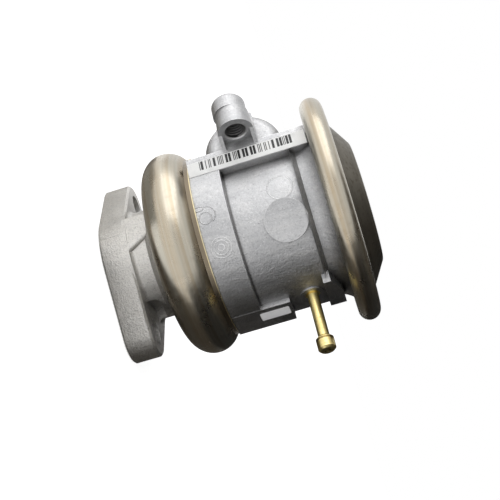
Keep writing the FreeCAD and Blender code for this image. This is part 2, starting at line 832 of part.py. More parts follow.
def lower_diaphragm_plate():
    """Pressed plate between spring and diaphragm, with a turned down rim."""
    return pressed(plate_t, (thread_d / 2, body_top), (plate_r - plate_bend, body_top),
                   (plate_r, body_top - plate_rim))


def upper_diaphragm_plate():
    """Pressed plate on the cap side of the diaphragm."""
    top = diaphragm_top + plate_t
    return pressed(plate_t, (thread_d / 2, top), (plate_r - plate_bend, top),
                   (plate_r, top + top_plate_rim))


def diaphragm():
    """Rubber diaphragm: clamped centre, one shallow roll and the rim under the cap's flange."""
    low, top = body_top, diaphragm_top
    roll_in = plate_r + roll_play_in
    roll_out = roll_room_r - roll_play_out
    mid = (roll_in + roll_out) / 2
    return turned(
        (thread_d / 2, low), (roll_in, low), ((mid, low - roll_depth), (roll_out, low)),
        (diaphragm_r, low), (diaphragm_r, top), (roll_out - roll_edge, top),
        ((mid, top - roll_depth + roll_thinning), (roll_in + roll_edge, top)), (thread_d / 2, top))


def diaphragm_washer():
    return ring(thread_d / 2, top_washer_r, diaphragm_top + plate_t, top_washer_top)


def diaphragm_nut():
    return hexagon(nut_flats, top_washer_top, top_nut_top, thread_d)


PIECES = (
    outlet_housing, valve_body, front_clamp_ring, rear_clamp_ring, diaphragm_cap, vacuum_nipple,
    barcode_label, joint_seal, check_seat_plate, check_guide_pin, check_disc, check_disc_facing,
    check_spring, check_spring_cup, check_pin_clip, valve_stem, valve_disc, valve_disc_seal,
    valve_disc_washer, valve_disc_nut, stem_guide_bush, stem_lip_seal, seal_cover, spring_cup,
    return_spring, lower_diaphragm_plate, upper_diaphragm_plate, diaphragm, diaphragm_washer,
    diaphragm_nut)

for make in PIECES:
    piece = make()
    piece.exportStep("parts/" + make.__name__ + ".step")
    print(make.__name__, piece.isValid(), len(piece.Solids), round(piece.Volume, 1))
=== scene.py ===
import math

import bpy
import numpy as np
from mathutils import Matrix, Vector


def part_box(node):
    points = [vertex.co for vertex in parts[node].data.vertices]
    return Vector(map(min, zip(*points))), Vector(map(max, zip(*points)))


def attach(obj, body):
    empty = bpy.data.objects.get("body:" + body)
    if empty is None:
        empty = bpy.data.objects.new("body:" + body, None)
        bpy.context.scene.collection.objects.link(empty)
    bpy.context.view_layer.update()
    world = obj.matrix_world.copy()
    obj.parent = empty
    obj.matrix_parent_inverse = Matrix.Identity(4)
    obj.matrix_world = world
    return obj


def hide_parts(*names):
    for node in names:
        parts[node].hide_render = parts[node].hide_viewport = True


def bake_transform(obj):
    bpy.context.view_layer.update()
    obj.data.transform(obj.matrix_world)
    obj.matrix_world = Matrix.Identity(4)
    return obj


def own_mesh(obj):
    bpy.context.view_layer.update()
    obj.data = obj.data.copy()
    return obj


# A vacuum operated air valve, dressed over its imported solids. The sections follow the valve as it
# is put together, from the lower casting with its non-return valve to the label, and end with the
# studio. All lengths are in metres, in the frame of the solids.

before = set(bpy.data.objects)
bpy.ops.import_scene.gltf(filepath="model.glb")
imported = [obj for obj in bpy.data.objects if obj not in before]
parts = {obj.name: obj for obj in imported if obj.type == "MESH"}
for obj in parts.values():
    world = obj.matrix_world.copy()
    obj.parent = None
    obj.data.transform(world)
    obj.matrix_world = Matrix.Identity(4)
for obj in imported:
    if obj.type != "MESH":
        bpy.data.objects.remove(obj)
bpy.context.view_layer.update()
mm = 0.001


# Lower casting: flange, neck and bell, die cast in aluminium in a two part die. Its rim is gripped
# by the front rolled ring. The die leaves a fine parting line across the flange's edge.

def new_finish(name):
    """Empty material: its nodes, its surface shader and the place on the object in metres."""
    finish = bpy.data.materials.new(name)
    finish.use_nodes = True
    tree = finish.node_tree
    shader = tree.nodes["Principled BSDF"]
    place = tree.nodes.new("ShaderNodeTexCoord").outputs["Object"]
    return finish, tree, shader, place


def put(tree, kind, inputs, **settings):
    """Adds a node. An input given as a socket is linked, any other is set as a value."""
    node = tree.nodes.new(kind)
    for key, value in settings.items():
        setattr(node, key, value)
    for key, value in inputs.items():
        if isinstance(value, bpy.types.NodeSocket):
            tree.links.new(value, node.inputs[key])
        else:
            node.inputs[key].default_value = value
    return node


def noise(tree, place, size, detail=3.0, roughness=0.55):
    """Noise from 0 to 1 whose features are about one size across."""
    texture = put(tree, "ShaderNodeTexNoise", {
        "Vector": place, "Scale": 1 / size, "Detail": detail, "Roughness": roughness})
    return texture.outputs["Fac"]


def spread(tree, value, low, high, start=0.0, end=1.0):
    """Value brought from the range low..high to start..end, held at both ends."""
    node = put(tree, "ShaderNodeMapRange", {
        "Value": value, "From Min": low, "From Max": high, "To Min": start, "To Max": end})
    return node.outputs["Result"]


def times(tree, first, second):
    """Product of two values."""
    return put(tree, "ShaderNodeMath", {0: first, 1: second}, operation="MULTIPLY").outputs[0]


def plus(tree, first, second):
    """Sum of two values."""
    return put(tree, "ShaderNodeMath", {0: first, 1: second}, operation="ADD").outputs[0]


def blended(tree, factor, first, second):
    """Colour that goes from the first to the second as the factor goes from 0 to 1."""
    node = put(tree, "ShaderNodeMix", {"Factor": factor}, data_type="RGBA")
    colours = [socket for socket in node.inputs if socket.type == "RGBA"]
    for socket, colour in zip(colours, (first, second)):
        if isinstance(colour, bpy.types.NodeSocket):
            tree.links.new(colour, socket)
        else:
            socket.default_value = (*colour, 1.0)
    return next(socket for socket in node.outputs if socket.type == "RGBA")


def relief(tree, shader, height, depth, under=None):
    """Bump of a given depth in metres on the shader, on top of another bump if one is given."""
    inputs = {"Height": height, "Distance": depth, "Strength": 1.0}
    if under is not None:
        inputs["Normal"] = under
    bump = put(tree, "ShaderNodeBump", inputs)
    tree.links.new(bump.outputs["Normal"], shader.inputs["Normal"])
    return bump.outputs["Normal"]


def edge_and_corner(tree, edge_width, corner_depth):
    """Two masks: 1 on outer edges, which are made lighter as wear and as a painted highlight, and 1
    in corners, found by ambient occlusion, for painted shade.
    """
    bevel = put(tree, "ShaderNodeBevel", {"Radius": edge_width}, samples=6)
    true_normal = tree.nodes.new("ShaderNodeNewGeometry").outputs["Normal"]
    agree = put(tree, "ShaderNodeVectorMath", {0: bevel.outputs["Normal"], 1: true_normal},
                operation="DOT_PRODUCT").outputs["Value"]
    bent = spread(tree, agree, 0.97, 0.80)
    open_air = put(tree, "ShaderNodeAmbientOcclusion", {"Distance": corner_depth},
                   samples=8).outputs["AO"]
    # Corner mask for painted shade: 1 where ambient occlusion finds the surface shut in.
    corner = spread(tree, open_air, 0.75, 0.25)
    edge = times(tree, bent, spread(tree, open_air, 0.55, 0.85))
    return edge, corner


# Tone of the painted shade at the foot of the step.
step_shade_tone = (0.09, 0.088, 0.085)
step_foot = 45.3 * mm
step_wall_r = 28.8 * mm
rear_ring_underside = 75.5 * mm
cove_wall_r = 33.0 * mm


def paint_shade_round_steps(tree, place, tone):
    """Painted shade in a line at the foot of the step round the upper casting and under the rear
    ring, both found by their height and their distance from the axis of the valve."""
    height = put(tree, "ShaderNodeSeparateXYZ", {"Vector": place}).outputs["Z"]
    level = put(tree, "ShaderNodeVectorMath", {0: place, 1: (1.0, 1.0, 0.0)}, operation="MULTIPLY")
    out = put(tree, "ShaderNodeVectorMath", {0: level.outputs["Vector"]},
              operation="LENGTH").outputs["Value"]
    # Painted shade along the foot of the step.
    foot = times(tree, spread(tree, height, step_foot, step_foot + 0.15 * mm),
                 spread(tree, height, step_foot + 1.0 * mm, step_foot + 0.55 * mm))
    foot = times(tree, foot, spread(tree, out, step_wall_r + 0.2 * mm, step_wall_r))
    tone = blended(tree, times(tree, foot, 0.75), tone, step_shade_tone)
    # Painted shade under the rear ring.
    cove = times(tree, spread(tree, height, rear_ring_underside - 3.5 * mm, rear_ring_underside),
                 spread(tree, out, cove_wall_r + 0.5 * mm, cove_wall_r))
    return blended(tree, times(tree, cove, 0.6), tone, (0.08, 0.075, 0.07))


def die_cast(name, dark, light, roughness):
    """As-cast aluminium: fine orange peel, small pits and cloudy tone, with edges made lighter as
    wear and as a painted highlight, painted shade in the corners, and painted shade at the foot of
    the step and under the rear ring."""
    finish, tree, shader, place = new_finish(name)
    cloud = noise(tree, place, 9 * mm, 4.0)
    stretched = put(tree, "ShaderNodeMapping", {"Vector": place, "Scale": (1.0, 1.0, 0.25)})
    flow = noise(tree, stretched.outputs["Vector"], 2.2 * mm, 3.0)
    speckle = noise(tree, place, 0.6 * mm, 4.0, 0.7)
    pits = put(tree, "ShaderNodeTexVoronoi", {"Vector": place, "Scale": 1 / (1.3 * mm)})
    pit = spread(tree, pits.outputs["Distance"], 0.16, 0.05)
    edge, corner = edge_and_corner(tree, 0.35 * mm, 3.5 * mm)

    tone = blended(tree, spread(tree, cloud, 0.3, 0.7), dark, light)
    tone = blended(tree, times(tree, spread(tree, flow, 0.45, 0.75), 0.35), tone,
                   (0.62, 0.615, 0.605))
    tone = blended(tree, times(tree, spread(tree, speckle, 0.5, 0.72), 0.5), tone,
                   (0.25, 0.25, 0.26))
    tone = blended(tree, times(tree, spread(tree, speckle, 0.42, 0.28), 0.5), tone,
                   (0.74, 0.74, 0.74))
    tone = blended(tree, times(tree, pit, 0.5), tone, (0.12, 0.118, 0.115))
    # Painted shade in the corners.
    tone = blended(tree, times(tree, corner, 0.45), tone, (0.09, 0.085, 0.08))
    # Lighter edges: wear, and a painted highlight.
    tone = blended(tree, times(tree, edge, 0.6), tone, (0.76, 0.76, 0.76))
    tree.links.new(paint_shade_round_steps(tree, place, tone), shader.inputs["Base Color"])
    shader.inputs["Metallic"].default_value = 1.0
    rough = plus(tree, spread(tree, cloud, 0.3, 0.7, roughness, roughness + 0.08),
                 times(tree, edge, -0.12))
    tree.links.new(rough, shader.inputs["Roughness"])
    under = relief(tree, shader, speckle, 0.16 * mm)
    under = relief(tree, shader, spread(tree, pit, 0.0, 1.0, 1.0, 0.0), 0.04 * mm, under)
    relief(tree, shader, flow, 0.12 * mm, under)
    return finish


def dress(finish, *names):
    """Gives solids of the frame their finish."""
    for name in names:
        for slot in parts[name].material_slots:
            slot.material = finish


def closed_surface(name, points, wrap_ends=False):
    """Mesh of a grid of points whose rows are closed loops: row i joined to row i + 1 by four
    sided faces, and the two end rows closed by a face each, or joined to one another."""
    rows, around = points.shape[:2]
    index = np.arange(rows * around).reshape(rows, around)
    first = index if wrap_ends else index[:-1]
    second = np.roll(index, -1, axis=0) if wrap_ends else index[1:]
    quads = np.stack([first, np.roll(first, -1, 1), np.roll(second, -1, 1), second], -1)
    faces = quads.reshape(-1, 4).tolist()
    if not wrap_ends:
        faces += [index[0, ::-1].tolist(), index[-1].tolist()]
    mesh = bpy.data.meshes.new(name)
    mesh.from_pydata(points.reshape(-1, 3).tolist(), [], faces)
    corners = points.reshape(-1, 3)[quads.reshape(-1, 4)]
    a, b, c, d = (corners[:, k] for k in range(4))
    if np.einsum("ij,ij->", np.cross(a, b), c) + np.einsum("ij,ij->", np.cross(a, c), d) < 0:
        mesh.flip_normals()
    mesh.shade_smooth()
    piece = bpy.data.objects.new(name, mesh)
    bpy.context.scene.collection.objects.link(piece)
    return piece


def raised_line(name, centre, outward, half_width, height, closed=False):
    """Low rounded ridge along a path on a surface. At each point of the path the section is
    spanned by the side (path direction crossed with the outward normal) and the normal: half a
    cosine wave as high as the ridge, closed by a foot that is sunk into the surface."""
    ahead = np.roll(centre, -1, 0) - np.roll(centre, 1, 0) if closed else np.gradient(centre, axis=0)
    side = np.cross(ahead, outward)
    side /= np.linalg.norm(side, axis=1, keepdims=True)
    across = np.array([-1.0, -0.6, -0.25, 0.25, 0.6, 1.0, 1.0, -1.0])
    up = np.append(height * np.cos(across[:6] * math.pi / 2), [-height, -height])
    points = (centre[:, None] + side[:, None] * (across * half_width)[None, :, None]
              + outward[:, None] * up[None, :, None])
    return closed_surface(name, points, wrap_ends=closed)


def cast_mark(name, finish, path, outward, half_width, tall, closed=False):
    """Raised line in the metal of a casting."""
    mark = raised_line(name, path, outward, half_width, tall, closed)
    mark.data.materials.append(finish)
    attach(mark, "housing")


flange_casting = die_cast("blasted_cast_aluminium", (0.60, 0.585, 0.555), (0.70, 0.685, 0.655), 0.46)
dress(flange_casting, "outlet_housing")

flange_thickness = 9.6 * mm
flange_waist = 20.5 * mm
flange_edge_round = 0.9 * mm
parting_x = -1.5 * mm
parting_y = -math.sqrt(flange_waist ** 2 - parting_x ** 2)
height = np.linspace(flange_edge_round, flange_thickness - flange_edge_round, 24)
level = np.ones_like(height)
path = np.stack([parting_x * level, parting_y * level, height], 1)
outward = np.stack([parting_x / flange_waist * level, -level, 0 * level], 1)
cast_mark("flange_parting_line", flange_casting, path, outward, 0.16 * mm, 0.06 * mm)


# Non-return valve: a drilled aluminium seat plate, a steel disc with a rubber facing, a light
# spring in its cup, and a headed pin with a clip, all put into the lower casting from above.

def around_axis(tree, place, axis, centre=(0.0, 0.0, 0.0)):
    """Place as (distance from an axis, 0, height along it), for marks that a lathe leaves."""
    moved = put(tree, "ShaderNodeVectorMath", {0: place, 1: centre}, operation="SUBTRACT")
    split = put(tree, "ShaderNodeSeparateXYZ", {"Vector": moved.outputs["Vector"]}).outputs
    others = [k for k in range(3) if k != axis]
    squares = [times(tree, split[k], split[k]) for k in others]
    radius = put(tree, "ShaderNodeMath", {0: plus(tree, *squares)}, operation="SQRT").outputs[0]
    return put(tree, "ShaderNodeCombineXYZ", {"X": radius, "Z": split[axis]}).outputs["Vector"]


def turned_metal(name, dark, light, line_size, roughness, depth, axis=2, centre=(0.0, 0.0, 0.0),
                 stain_and_shade=(0.1, 0.09, 0.07), stain_share=0.25, band=(0.3, 0.3, 0.3), band_share=0.0,
                 band_size=2.6 * mm):
    """Metal with fine lines and broad tinted bands round an axis, cloudy tone and small stains, with
    painted shade in the corners in the stain colour, and edges made lighter as wear and as a painted
    highlight."""
    finish, tree, shader, place = new_finish(name)
    lathe = around_axis(tree, place, axis, centre)
    lines = noise(tree, lathe, line_size, 2.0, 0.6)
    broad = noise(tree, lathe, band_size, 2.0, 0.5)
    cloud = noise(tree, place, 6 * mm, 3.0)
    spots = noise(tree, place, 1.4 * mm, 2.0, 0.5)
    edge, corner = edge_and_corner(tree, 0.2 * mm, 1.5 * mm)
    tone = blended(tree, spread(tree, lines, 0.3, 0.7), dark, light)
    tone = blended(tree, times(tree, spread(tree, broad, 0.45, 0.62), band_share), tone, band)
    tone = blended(tree, times(tree, spread(tree, cloud, 0.45, 0.7), 0.3), tone, dark)
    tone = blended(tree, times(tree, spread(tree, spots, 0.58, 0.75), stain_share), tone, stain_and_shade)
    # Painted shade in the corners, in the stain colour.
    tone = blended(tree, times(tree, corner, 0.5), tone, stain_and_shade)
    # Lighter edges: wear, and a painted highlight.
    tone = blended(tree, times(tree, edge, 0.5), tone, tuple(min(1.0, 1.2 * c) for c in light))
    tree.links.new(tone, shader.inputs["Base Color"])
    shader.inputs["Metallic"].default_value = 1.0
    rough = plus(tree, spread(tree, cloud, 0.3, 0.7, roughness, roughness * 1.35),
                 times(tree, spread(tree, spots, 0.5, 0.75), 0.10))
    tree.links.new(rough, shader.inputs["Roughness"])
    under = relief(tree, shader, lines, depth)
    relief(tree, shader, spots, depth * 0.5, under)
    return finish


def moulded_rubber(name):
    """Black rubber: matt, with a dusty bloom, fine grain and shallow flow marks."""
    finish, tree, shader, place = new_finish(name)
    grain = noise(tree, place, 0.25 * mm, 4.0, 0.7)
    bloom = noise(tree, place, 5 * mm, 4.0)
    tone = blended(tree, times(tree, spread(tree, bloom, 0.45, 0.75), 0.6), (0.018, 0.018, 0.019),
                   (0.060, 0.058, 0.055))
    tree.links.new(tone, shader.inputs["Base Color"])
    tree.links.new(spread(tree, grain, 0.3, 0.7, 0.60, 0.78), shader.inputs["Roughness"])
    under = relief(tree, shader, grain, 0.02 * mm)
    relief(tree, shader, bloom, 0.06 * mm, under)
    return finish


zinc = turned_metal("zinc_plated_steel", (0.50, 0.50, 0.49), (0.64, 0.64, 0.62), 0.20 * mm, 0.30,
                    0.004 * mm)
rubber = moulded_rubber("black_rubber")
milled = turned_metal("milled_aluminium", (0.58, 0.58, 0.585), (0.70, 0.70, 0.705), 0.15 * mm,
                      0.26, 0.006 * mm)
spring_wire = turned_metal("oiled_spring_wire", (0.26, 0.26, 0.27), (0.42, 0.42, 0.43), 0.3 * mm,
                           0.28, 0.003 * mm)
dress(zinc, "check_guide_pin", "check_disc", "check_spring_cup", "check_pin_clip")
dress(rubber, "check_disc_facing", "joint_seal")
dress(milled, "check_seat_plate")


def wound_spring(name, node, wire, turns):
    """Coil spring in the room of its solid. The wire's middle follows a helix that stays level for
    its first and last third of a turn, and its round section stands square to it."""
    points_per_turn, wire_sides, level_turns = 48, 12, 0.33
    low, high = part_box(node)
    radius = (high.x - low.x) / 2 - wire / 2
    turn = np.linspace(0, turns, int(turns * points_per_turn))
    climb = np.clip((turn - level_turns) / (turns - 2 * level_turns), 0, 1)
    angle = 2 * math.pi * turn
    middle = np.stack([radius * np.cos(angle), radius * np.sin(angle),
                       low.z + wire / 2 + climb * (high.z - low.z - wire)], 1)
    out = np.stack([np.cos(angle), np.sin(angle), np.zeros_like(angle)], 1)
    across = np.cross(np.gradient(middle, axis=0), out)
    across /= np.linalg.norm(across, axis=1, keepdims=True)
    section = np.linspace(0, 2 * math.pi, wire_sides, endpoint=False)
    points = middle[:, None] + wire / 2 * (out[:, None] * np.cos(section)[None, :, None]
                                           + across[:, None] * np.sin(section)[None, :, None])
    spring = closed_surface(name, points)
    spring.data.materials.append(spring_wire)
    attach(spring, "housing")
    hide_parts(node)
    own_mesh(spring)


wound_spring("check_spring_coil", "check_spring", 0.7 * mm, 4.0)


# Upper casting: band, eccentric recess, duct, platform, bracket boss and pads, die cast in one
# piece. The die's ejectors, a trimmed gate and a plain date dial leave low rings on its skin, and
# the hole of the boss is threaded, with painted shade on its wall and thread.

casting = die_cast("die_cast_aluminium", (0.38, 0.382, 0.39), (0.49, 0.49, 0.495), 0.36)
dress(casting, "valve_body")

centre = (0.0, 0.0)
band_radius = 30.3 * mm
recess_radius = 28.0 * mm
recess_middle = (0.742 * mm, 0.742 * mm)
mark_half_width = 0.20 * mm
mark_height = 0.13 * mm


def on_wall(angle, height, radius, middle):
    """Points and outward normals on an upright round wall at angles in degrees from -Y towards +X:
    the middle plus the radius times (sine, minus cosine) of the angle, at the height."""
    a = np.radians(angle)
    normal = np.stack([np.sin(a), -np.cos(a), np.zeros_like(a)], 1)
    point = np.stack([middle[0] + radius * np.sin(a), middle[1] - radius * np.cos(a), height], 1)
    return point, normal


def cast_ring(name, angle, height, ring_radius, wall, middle, half_width, tall):
    """Raised circle on the wall: the angle round the valve and the height both follow a circle."""
    turn = np.linspace(0, 2 * math.pi, 64, endpoint=False)
    angles = angle + np.degrees(ring_radius * np.cos(turn) / wall)
    path, outward = on_wall(angles, height + ring_radius * np.sin(turn), wall, middle)
    cast_mark(name, casting, path, outward, half_width, tall, closed=True)


def cast_stroke(name, angles, heights):
    """Raised stroke on the band. Angle and height run straight from one given point to the next."""
    share = np.linspace(0, 1, len(angles))
    fine = np.linspace(0, 1, 40)
    path, outward = on_wall(np.interp(fine, share, angles), np.interp(fine, share, heights),
                            band_radius, centre)
    cast_mark(name, casting, path, outward, mark_half_width, mark_height)


cast_ring("ejector_ring_band", 16.4, 37.9 * mm, 1.95 * mm, band_radius, centre, mark_half_width,
          mark_height)
arc = np.radians(np.linspace(27.0, 186.0, 30))
arc_radius = 2.85 * mm
cast_stroke("ejector_arc_band", 14.7 + np.degrees(arc_radius * np.cos(arc) / band_radius),
            38.4 * mm + arc_radius * np.sin(arc))
cast_ring("ejector_ring_recess", 6.5, 62.5 * mm, 4.05 * mm, recess_radius, recess_middle, 0.22 * mm,
          0.07 * mm)
dial_radii = (3.25 * mm, 2.3 * mm, 1.0 * mm)
for count, dial_radius in enumerate(dial_radii):
    cast_ring("date_dial_ring_" + str(count + 1), 36.0, 40.2 * mm, dial_radius, band_radius, centre,
              0.16 * mm, 0.035 * mm)
cast_stroke("gate_mark", [8.6, 8.4, 8.5, 9.2, 10.3, 11.0, 11.3],
            np.array([35.5, 36.6, 37.3, 37.8, 37.8, 37.3, 35.5]) * mm)


def over_tone(tree, share, colour):
    """Lays a colour over a finish where the share is 1."""
    shader = tree.nodes["Principled BSDF"]
    below = shader.inputs["Base Color"].links[0].from_socket
    tree.links.new(blended(tree, share, below, colour), shader.inputs["Base Color"])


boss_middle = (-33.6 * mm, 53.8 * mm)
boss_face_x = -17.5 * mm
boss_hole_r = 3.3 * mm
thread_pitch = 1.0 * mm
thread_turns = 8
thread_start = 0.9 * mm


def in_boss_hole(turn, radius):
    """Helix round the axis of the boss hole: cosine and sine of the turn times the radius, one
    pitch deeper with each turn. Gives the points and the directions away from the axis."""
    away = np.stack([np.zeros_like(turn), np.cos(2 * math.pi * turn), np.sin(2 * math.pi * turn)], 1)
    axis = np.stack([boss_face_x - thread_start - thread_pitch * turn,
                     np.full_like(turn, boss_middle[0]), np.full_like(turn, boss_middle[1])], 1)
    return axis + radius * away, away


path, away = in_boss_hole(np.linspace(0, thread_turns, thread_turns * 40), boss_hole_r)
cast_mark("boss_thread", casting, path, -away, 0.42 * mm, 0.34 * mm)
tree = casting.node_tree
place = tree.nodes["Texture Coordinate"].outputs["Object"]
# Painted shade: the wall and thread of the boss hole are darkened.
from_hole = put(tree, "ShaderNodeSeparateXYZ", {
    "Vector": around_axis(tree, place, 0, (0.0, *boss_middle))}).outputs["X"]
over_tone(tree, times(tree, spread(tree, from_hole, boss_hole_r + 0.2 * mm, boss_hole_r), 0.8),
          (0.07, 0.068, 0.065))


# Poppet valve with its stem, bush, seal, diaphragm and spring: zinc plated steel pressings and nuts,
# a sintered bronze bush and black rubber, stacked on the stem and clamped by two nuts. The
# diaphragm, with a roll between its clamped middle and its rim, is laid out in twelve sectors.

bronze = turned_metal("sintered_bronze", (0.42, 0.28, 0.14), (0.55, 0.39, 0.20), 0.18 * mm, 0.42,
                      0.006 * mm)
dress(zinc, "valve_stem", "valve_disc", "valve_disc_washer", "valve_disc_nut", "seal_cover",
      "spring_cup", "lower_diaphragm_plate", "upper_diaphragm_plate", "diaphragm_washer",
      "diaphragm_nut")
dress(rubber, "valve_disc_seal", "stem_lip_seal")
dress(bronze, "stem_guide_bush")
wound_spring("return_spring_coil", "return_spring", 1.8 * mm, 3.2)

diaphragm_t = 1.3 * mm
diaphragm_hole_r = 2.45 * mm
plate_edge_r = 21.9 * mm
roll_start, roll_end = 22.3 * mm, 29.2 * mm
roll_dip = 0.8 * mm
clamp_edge_r = 31.0 * mm
diaphragm_rim_r = 36.4 * mm
sectors = 12


def diaphragm_profile():
    """Radii and heights of the closed profile: out along the underside and back along the upper
    side, both lowered over the roll by its dip times the square of a sine from 0 to half a turn."""
    along = np.linspace(0, 1, 16)
    flat = [diaphragm_hole_r, 12.0 * mm, plate_edge_r]
    radii = np.concatenate([flat, roll_start + (roll_end - roll_start) * along,
                            [clamp_edge_r, diaphragm_rim_r]])
    dip = np.concatenate([np.zeros(3), roll_dip * np.sin(math.pi * along) ** 2, np.zeros(2)])
    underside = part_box("diaphragm")[1].z - diaphragm_t
    return (np.concatenate([radii, radii[::-1]]),
            np.concatenate([underside - dip, (underside + diaphragm_t - dip)[::-1]]))


def diaphragm_sector(name, middle_angle):
    """One sector of the diaphragm: its profile turned round the axis, in seven steps over an equal
    share of a full turn."""
    half = math.pi / sectors
    turn = middle_angle + np.linspace(-half, half, 7)[:, None]
    radii, heights = diaphragm_profile()
    points = np.stack([np.cos(turn) * radii, np.sin(turn) * radii,
                       np.broadcast_to(heights, (7, len(heights)))], -1)
    return closed_surface(name, points)


for sector in range(sectors):
    angle = 2 * math.pi * sector / sectors
    leaf = diaphragm_sector("diaphragm_sector_" + str(sector + 1), angle)
    leaf.data.materials.append(rubber)
    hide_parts("diaphragm")
    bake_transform(leaf)


# Cap: deep drawn steel with a brownish passivated skin, clamped with the diaphragm under the
# rear ring. Drawing leaves rings round its axis, and handling leaves small rubs.

cap_skin = turned_metal("passivated_cap_steel", (0.115, 0.102, 0.078), (0.15, 0.135, 0.105),
                        0.30 * mm, 0.36, 0.004 * mm, stain_and_shade=(0.05, 0.035, 0.02), stain_share=0.45,
                        band=(0.09, 0.078, 0.058), band_share=0.5)
dress(cap_skin, "diaphragm_cap")


# Rolled rings: polished steel strip folded over the rims by rollers, which leave fine bright and
# dark lines all the way round. The straw tint and the broad brown bands round the rings are painted
# warm reflections. The lip of the front ring is darker with painted shade, and its rim carries a
# painted highlight.

# Straw tint and broad brown bands: painted warm reflections.
ring_skin = turned_metal("rolled_ring_steel", (0.43, 0.405, 0.34), (0.54, 0.515, 0.45), 0.6 * mm,
                         0.25, 0.002 * mm, stain_and_shade=(0.26, 0.19, 0.12), stain_share=0.1,
                         band=(0.36, 0.28, 0.18), band_share=0.7, band_size=3.4 * mm)
dress(ring_skin, "front_clamp_ring", "rear_clamp_ring")


def along_axis(tree, axis):
    """Place along one axis of the object, in metres."""
    place = tree.nodes["Texture Coordinate"].outputs["Object"]
    return put(tree, "ShaderNodeSeparateXYZ", {"Vector": place}).outputs[axis]


lip_root = 33.5 * mm
lip_edge = 35.0 * mm
front_ring_end = 39.0 * mm
tree = ring_skin.node_tree
height = along_axis(tree, "Z")
on_front_ring = spread(tree, height, front_ring_end + 1.0 * mm, front_ring_end)
# Painted shade over the lip of the front ring.
lip = times(tree, spread(tree, height, lip_root, lip_root + 0.2 * mm), on_front_ring)
over_tone(tree, times(tree, lip, 0.8), (0.13, 0.10, 0.065))
# Painted highlight along the rim of the lip.
lip_rim_highlight = times(tree, spread(tree, height, lip_edge, lip_edge + 0.1 * mm), on_front_ring)
over_tone(tree, times(tree, lip_rim_highlight, 0.9), (0.72, 0.62, 0.38))


# Vacuum nipple: turned from brass bar and pressed into the body, with a bead for the hose. The tool
# leaves fine lines round it and a narrow groove behind the bead, which is drawn as a bump with
# painted shade in it.

nipple_low, nipple_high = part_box("vacuum_nipple")
nipple_height = (nipple_low.z + nipple_high.z) / 2
groove_x = 45.9 * mm
groove_half_width = 0.30 * mm
brass = turned_metal("turned_brass", (0.76, 0.61, 0.25), (0.86, 0.73, 0.36), 0.25 * mm, 0.27,
                     0.004 * mm, axis=0, centre=(0.0, 0.0, nipple_height),
                     stain_and_shade=(0.30, 0.19, 0.07), stain_share=0.25)
tree = brass.node_tree
groove = put(tree, "ShaderNodeMath", {
    0: along_axis(tree, "X"), 1: groove_x, 2: groove_half_width}, operation="COMPARE").outputs[0]
# Painted shade in the groove behind the bead.
over_tone(tree, times(tree, groove, 0.85), (0.16, 0.10, 0.03))
shader = tree.nodes["Principled BSDF"]
turned_relief = shader.inputs["Normal"].links[0].from_socket
relief(tree, shader, spread(tree, groove, 0.0, 1.0, 1.0, 0.0), 0.15 * mm, turned_relief)
dress(brass, "vacuum_nipple")


# Label: white paper on the platform with plain printed bars. The line of figures under the bars
# is left off. The small plate on the side pad is left bare.

def printed_paper(name, tone, rough):
    """Coated paper or foil: nearly even tone, fine fibres, slight soiling."""
    finish, tree, shader, place = new_finish(name)
    fibre = noise(tree, place, 0.12 * mm, 4.0, 0.6)
    soil = noise(tree, place, 3.5 * mm, 4.0)
    dirty = tuple(c * 0.72 for c in tone)
    mixed = blended(tree, times(tree, spread(tree, soil, 0.5, 0.8), 0.5), tone, dirty)
    mixed = blended(tree, times(tree, spread(tree, fibre, 0.5, 0.8), 0.25), mixed, dirty)
    tree.links.new(mixed, shader.inputs["Base Color"])
    tree.links.new(spread(tree, fibre, 0.3, 0.7, rough, rough + 0.12), shader.inputs["Roughness"])
    under = relief(tree, shader, fibre, 0.004 * mm)
    relief(tree, shader, soil, 0.03 * mm, under)
    return finish


paper = printed_paper("label_paper", (0.96, 0.96, 0.95), 0.45)
ink = printed_paper("label_ink", (0.012, 0.012, 0.013), 0.40)
foil = printed_paper("bare_plate_foil", (0.86, 0.86, 0.87), 0.40)
dress(paper, "barcode_label")

label_low, label_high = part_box("barcode_label")
bar_side_margin = 0.3 * mm
bar_length = 3.5 * mm
bars_low_margin, bars_high_margin = 3.6 * mm, 3.4 * mm
narrow, wide, wide_share = 0.26 * mm, 0.78 * mm, 0.42
ink_thickness = 0.012 * mm


def bar_limits(rng, steps):
    """Starts and ends of the bars along the label: a running sum of narrow and wide steps, which
    are bar and gap by turns, as far as the upper margin."""
    edges = label_low.z + bars_low_margin + np.cumsum(
        np.where(rng.random(steps) < wide_share, wide, narrow))
    starts, ends = edges[0:-1:2], edges[1::2]
    fits = ends < label_high.z - bars_high_margin
    return starts[fits], ends[fits]


def bars_on_label(name, starts, ends):
    """Thin boxes on the face of the label. All have the same limits along X and the same front and
    back along Y, and each runs along Z from its start to its end."""
    low_x = label_low.x + bar_side_margin
    high_x = low_x + bar_length
    x = np.array([low_x, high_x, high_x, low_x] * 2)
    y = np.repeat([label_low.y, label_low.y - ink_thickness], 4)
    at_end = np.array([0, 0, 1, 1] * 2)
    z = starts[:, None] + (ends - starts)[:, None] * at_end
    points = np.stack([np.broadcast_to(x, z.shape), np.broadcast_to(y, z.shape), z], -1)
    box_faces = np.array([[0, 1, 2, 3], [7, 6, 5, 4], [0, 4, 5, 1], [1, 5, 6, 2], [2, 6, 7, 3],
                          [3, 7, 4, 0]])
    faces = (np.arange(len(starts))[:, None, None] * 8 + box_faces).reshape(-1, 4)
    mesh = bpy.data.meshes.new(name)
    mesh.from_pydata(points.reshape(-1, 3).tolist(), [], faces.tolist())
    piece = bpy.data.objects.new(name, mesh)
    bpy.context.scene.collection.objects.link(piece)
    return piece


label_bars = bars_on_label("label_bars", *bar_limits(np.random.default_rng(7), 140))
label_bars.data.materials.append(ink)
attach(label_bars, "housing")

